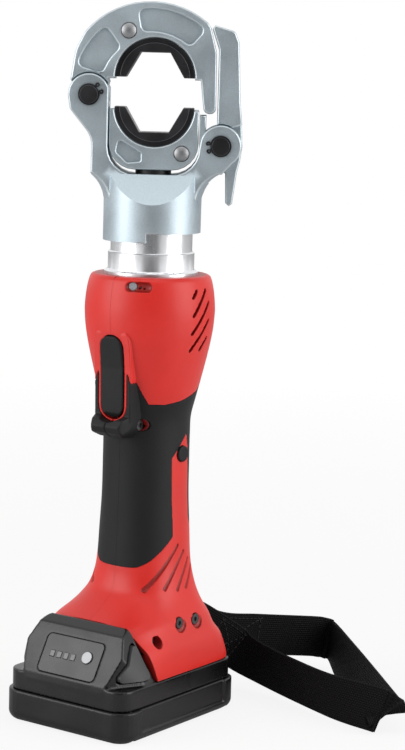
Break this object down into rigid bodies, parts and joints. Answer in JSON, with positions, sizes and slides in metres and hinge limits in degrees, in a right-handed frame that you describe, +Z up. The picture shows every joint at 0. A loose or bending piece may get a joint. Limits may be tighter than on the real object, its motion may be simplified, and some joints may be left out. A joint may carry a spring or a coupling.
{
  "type": "pex press tool",
  "caption": "Hand-held battery press tool with a swivelling head, a hinged jaw and latch, press dies, a trigger grip, a slide-on battery pack and a wrist strap.",
  "frame": {"origin": "on the floor under the tool's axis, in the base face of the battery pack", "axes": "+Z up along the tool's axis, +Y along the pipe through the dies, the front of the head at -Y; the handle is turned 35.5 degrees clockwise about +Z from the head"},
  "size_m": [0.2219, 0.173, 0.3999],
  "materials": {
    "head_metal": "satin, cast and ground edges",
    "neck_metal": "turned and polished",
    "die_steel": "black oxide",
    "pin_steel": "black oxide",
    "spring_steel": "bright wire",
    "drive_steel": "machined",
    "bronze": "machined",
    "red_plastic": "fine moulded texture",
    "soft_grip": "matt, softly grained",
    "black_plastic": "moulded, half matt",
    "grey_plastic": "moulded, half matt",
    "gauge_face": "printed face",
    "gauge_light": "unlit light bars",
    "clear_lens": "clear",
    "black_rubber": "matt",
    "board": "solder resist",
    "cell_wrap": "shrink wrap",
    "webbing": "woven webbing"
  },
  "bodies": {
    "handle": {"housing_left": "red_plastic", "housing_right": "red_plastic", "grip_left": "soft_grip", "grip_right": "soft_grip", "neck_tube": "neck_metal", "gland_nut": "bronze", "swivel_ring": "drive_steel", "stop_pin": "pin_steel", "pump_block": "drive_steel", "pump_plunger": "drive_steel", "oil_bladder": "black_rubber", "gear_case": "drive_steel", "motor_can": "drive_steel", "trigger_pin": "spring_steel", "trigger_switch": "black_plastic", "trigger_spring": "spring_steel", "control_board": "board", "terminal_block": "black_plastic", "led_lens": "clear_lens", "housing_screws": "pin_steel", "strap_pin": "spring_steel", "wrist_strap": "webbing"},
    "head": {"head_yoke": "head_metal", "jaw_pin": "pin_steel", "jaw_pin_rings": "pin_steel", "latch_pin": "pin_steel", "latch_pin_rings": "pin_steel", "latch_spring": "spring_steel", "return_spring": "spring_steel"},
    "jaw": {"upper_jaw": "head_metal", "upper_die": "die_steel", "upper_button_spring": "spring_steel"},
    "latch": {"latch": "head_metal"},
    "ram": {"ram": "drive_steel", "ram_seal": "black_rubber", "die_carrier": "head_metal", "lower_die": "die_steel", "lower_button_spring": "spring_steel"},
    "upper_button": {"upper_die_button": "spring_steel"},
    "lower_button": {"lower_die_button": "spring_steel"},
    "trigger": {"trigger": "soft_grip"},
    "side_button": {"side_button": "soft_grip"},
    "rotor": {"motor_shaft": "drive_steel"},
    "cam": {"cam_shaft": "drive_steel", "cam_bearing": "drive_steel"},
    "battery": {"battery_shoe": "black_plastic", "battery_cover": "black_plastic", "battery_cells": "cell_wrap", "cell_holder": "black_plastic", "cell_straps": "drive_steel", "battery_board": "board", "battery_terminals": "bronze", "battery_screws": "drive_steel", "gauge_window": "gauge_face", "gauge_lights": "gauge_light", "release_springs": "spring_steel"},
    "gauge_button": {"gauge_button": "grey_plastic"},
    "release_left": {"release_button_left": "grey_plastic"},
    "release_right": {"release_button_right": "grey_plastic"}
  },
  "joints": [
    {"name": "head_swivel", "type": "hinge", "parent": "handle", "child": "head", "pos_m": [0, 0, 0.28], "axis": [0, 0, 1], "range_deg": [-50, 130]},
    {"name": "jaw_open", "type": "hinge", "parent": "head", "child": "jaw", "pos_m": [-0.036, 0, 0.3485], "axis": [0, -1, 0], "range_deg": [0, 58]},
    {"name": "latch_open", "type": "hinge", "parent": "head", "child": "latch", "pos_m": [0.0371, 0, 0.322], "axis": [0, 1, 0], "range_deg": [0, 15], "stiffness_Nm_per_rad": 0.4, "springref_deg": -17.19},
    {"name": "ram_stroke", "type": "slide", "parent": "head", "child": "ram", "axis": [0, 0, 1], "range_m": [0, 0.015], "stiffness_N_per_m": 3000, "springref_m": -0.003, "deforming": ["return_spring"]},
    {"name": "upper_button_press", "type": "slide", "parent": "jaw", "child": "upper_button", "axis": [0, 1, 0], "range_m": [0, 0.0025], "stiffness_N_per_m": 600, "springref_m": -0.001},
    {"name": "lower_button_press", "type": "slide", "parent": "ram", "child": "lower_button", "axis": [0, 1, 0], "range_m": [0, 0.0025], "stiffness_N_per_m": 600, "springref_m": -0.001},
    {"name": "trigger_pull", "type": "hinge", "parent": "handle", "child": "trigger", "pos_m": [-0.01568, -0.02198, 0.2119], "axis": [0.8141, -0.5807, 0], "range_deg": [0, 3.7], "stiffness_Nm_per_rad": 0.5, "springref_deg": -8.59},
    {"name": "side_button_press", "type": "slide", "parent": "handle", "child": "side_button", "axis": [-0.8141, 0.5807, 0], "range_m": [0, 0.002], "stiffness_N_per_m": 600, "springref_m": -0.001},
    {"name": "motor_spin", "type": "hinge", "parent": "handle", "child": "rotor", "pos_m": [0.00232, 0.00326, 0.138], "axis": [0, 0, 1], "continuous": true},
    {"name": "cam_spin", "type": "hinge", "parent": "handle", "child": "cam", "pos_m": [0.00232, 0.00326, 0.195], "axis": [0, 0, 1], "continuous": true},
    {"name": "battery_slide", "type": "slide", "parent": "handle", "child": "battery", "axis": [-0.5807, -0.8141, 0], "range_m": [0, 0.07]},
    {"name": "gauge_press", "type": "slide", "parent": "battery", "child": "gauge_button", "axis": [0.5035, 0.7058, -0.4983], "range_m": [0, 0.0008], "stiffness_N_per_m": 600, "springref_m": -0.0008},
    {"name": "release_left_press", "type": "slide", "parent": "battery", "child": "release_left", "axis": [0.8141, -0.5807, 0], "range_m": [0, 0.003], "stiffness_N_per_m": 500, "springref_m": -0.001},
    {"name": "release_right_press", "type": "slide", "parent": "battery", "child": "release_right", "axis": [-0.8141, 0.5807, 0], "range_m": [0, 0.003], "stiffness_N_per_m": 500, "springref_m": -0.001}
  ],
  "couplings": [
    {"joint": "cam_spin", "follows": "motor_spin", "ratio": 0.20833}
  ]
}
